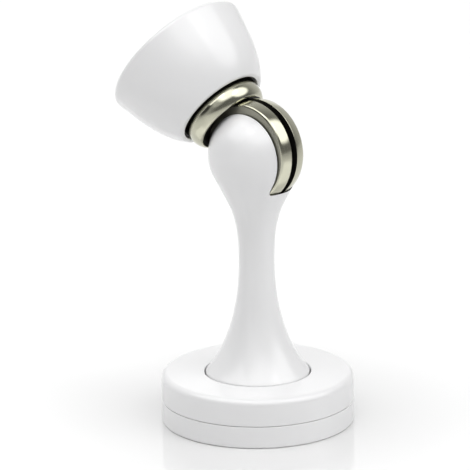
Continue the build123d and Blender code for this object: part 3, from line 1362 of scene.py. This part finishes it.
@dataclass
class Studio:
    """The floor, the lights and the camera."""

    floor_radius: float = 12000.0
    floor_sides: int = 64
    floor_drop: float = 0.02
    floor_white: float = 0.82
    floor_roughness: float = 0.06
    floor_mirror: float = 2.5
    floor_glow: float = 0.12
    glow_start: float = 25.0
    glow_full: float = 70.0
    surround: float = 0.16
    camera_distance: float = 1000.0
    azimuth: float = 41.5
    elevation: float = 16.24
    roll: float = 0.64
    aim_height: float = 55.0
    aim_right: float = -5.5
    aim_up: float = -5.33
    lens: float = 298.9
    sensor_width: float = 36.0
    clip_start: float = 0.05
    clip_end: float = 20.0

    def build(self) -> None:
        """Builds the whole studio."""
        self.floor()
        self.world()
        self.light(LEFT_FILL)
        self.camera()

    def towards(self, around: float, rise: float) -> Vector:
        """Returns a direction from the part.

        Args:
            around: Degrees to the right of the camera, seen from the part.
            rise: Degrees above the floor.

        Returns:
            The direction, of length 1.
        """
        turn = math.radians(self.azimuth + around)
        lift = math.radians(rise)
        level = math.cos(lift)
        return Vector((math.sin(turn) * level, -math.cos(turn) * level, math.sin(lift)))

    def floor(self) -> None:
        """Lays a white floor with a mirror in it near the base and a faint glow further out."""
        mesh = bmesh.new()
        bmesh.ops.create_circle(mesh, cap_ends=True, radius=self.floor_radius, segments=self.floor_sides)
        floor = Workshop.placed("floor", mesh, Matrix.Translation((0, 0, -self.floor_drop)))
        material = bpy.data.materials.new("white_floor")
        material.use_nodes = True
        tree = material.node_tree
        shader = tree.nodes["Principled BSDF"]
        white = self.floor_white
        shader.inputs["Base Color"].default_value = (white, white, white, 1.0)
        shader.inputs["Roughness"].default_value = self.floor_roughness
        shader.inputs["IOR"].default_value = self.floor_mirror
        glow = tree.nodes.new("ShaderNodeEmission")
        path = tree.nodes.new("ShaderNodeLightPath")
        seen = path.outputs["Is Camera Ray"]
        for ray in ("Is Glossy Ray", "Is Transmission Ray"):
            seen = Nodes.level(tree, LevelStep.LARGER, seen, path.outputs[ray])
        strength = Nodes.level(tree, LevelStep.PRODUCT, seen, self.glow_level(tree))
        tree.links.new(strength, glow.inputs["Strength"])
        both = tree.nodes.new("ShaderNodeAddShader")
        tree.links.new(shader.outputs["BSDF"], both.inputs[0])
        tree.links.new(glow.outputs["Emission"], both.inputs[1])
        tree.links.new(both.outputs["Shader"], tree.nodes["Material Output"].inputs["Surface"])
        floor.data.materials.append(material)

    def glow_level(self, tree: Tree) -> Socket:
        """Returns the floor's glow, which grows away from the base so that the mirror shows there.

        Args:
            tree: The floor's nodes.

        Returns:
            The glow's socket.
        """
        reach = Nodes.vector(tree, VectorStep.LENGTH, Nodes.place(tree)).outputs["Value"]
        span = (self.glow_start * MM, self.glow_full * MM)
        return Nodes.ramp(tree, Ramp.SOFT, reach, span, (0.0, self.floor_glow))

    def world(self) -> None:
        """Sets the surround: dim in front, brighter behind, with soft boxes of light and a dark corner."""
        world = bpy.data.worlds.new("studio_surround")
        world.use_nodes = True
        tree = world.node_tree
        where = tree.nodes.new("ShaderNodeTexCoord").outputs["Generated"]
        first, *others = SURROUND
        level = self.share(tree, where, first, self.surround)
        for side in others:
            level = Nodes.level(tree, LevelStep.SUM, level, self.share(tree, where, side))
        background = tree.nodes["Background"]
        background.inputs["Color"].default_value = (1.0, 1.0, 1.0, 1.0)
        tree.links.new(level, background.inputs["Strength"])
        bpy.context.scene.world = world

    def share(self, tree: Tree, where: Socket, side: Side, base: float = 0.0) -> Socket:
        """Returns a light level that changes towards one side of the surround.

        Args:
            tree: The world's nodes.
            where: The direction that is looked in.
            side: The side.
            base: The level away from it.

        Returns:
            The level's socket.
        """
        way = tuple(self.towards(side.around, side.rise))
        nearness = Nodes.vector(tree, VectorStep.ALONG, where, way).outputs["Value"]
        return Nodes.ramp(tree, Ramp.SOFT, nearness, (side.start, side.full), (base, base + side.change))

    def light(self, lamp: Lamp) -> None:
        """Hangs a lamp.

        Args:
            lamp: The lamp.
        """
        data = bpy.data.lights.new(lamp.name, "AREA")
        data.size = lamp.size
        data.energy = lamp.power
        holder = bpy.data.objects.new(lamp.name, data)
        way = self.towards(lamp.around, lamp.rise)
        holder.location = Vector((0, 0, self.aim_height * MM)) + way * lamp.distance
        holder.rotation_euler = (-way).to_track_quat("-Z", "Y").to_euler()
        bpy.context.scene.collection.objects.link(holder)

    def camera(self) -> None:
        """Sets the camera at the photograph's viewing angle."""
        turn = math.radians(self.azimuth)
        lean = math.radians(self.roll)
        back = self.towards(0.0, self.elevation)
        right = Vector((math.cos(turn), math.sin(turn), 0))
        up = back.cross(right)
        aim = Vector((0, 0, self.aim_height)) + right * self.aim_right + up * self.aim_up
        place = (aim + back * self.camera_distance) * MM
        leaned_right = right * math.cos(lean) - up * math.sin(lean)
        leaned_up = back.cross(leaned_right)
        data = bpy.data.cameras.new("camera")
        data.lens = self.lens
        data.sensor_width = self.sensor_width
        data.clip_start = self.clip_start
        data.clip_end = self.clip_end
        camera = bpy.data.objects.new("camera", data)
        turned = Matrix((leaned_right, leaned_up, back)).transposed().to_4x4()
        camera.matrix_world = Matrix.Translation(place) @ turned
        bpy.context.scene.collection.objects.link(camera)
        bpy.context.scene.camera = camera


def main() -> None:
    """Builds the studio and the sub-assemblies in order."""
    logging.basicConfig(level=logging.INFO, format="%(message)s")
    bpy.context.scene.view_settings.view_transform = "Standard"
    Studio().build()
    for assembly in (Base(), Stem(), MagnetHead(), Catch()):
        assembly.build()


if __name__ == "__main__":
    main()
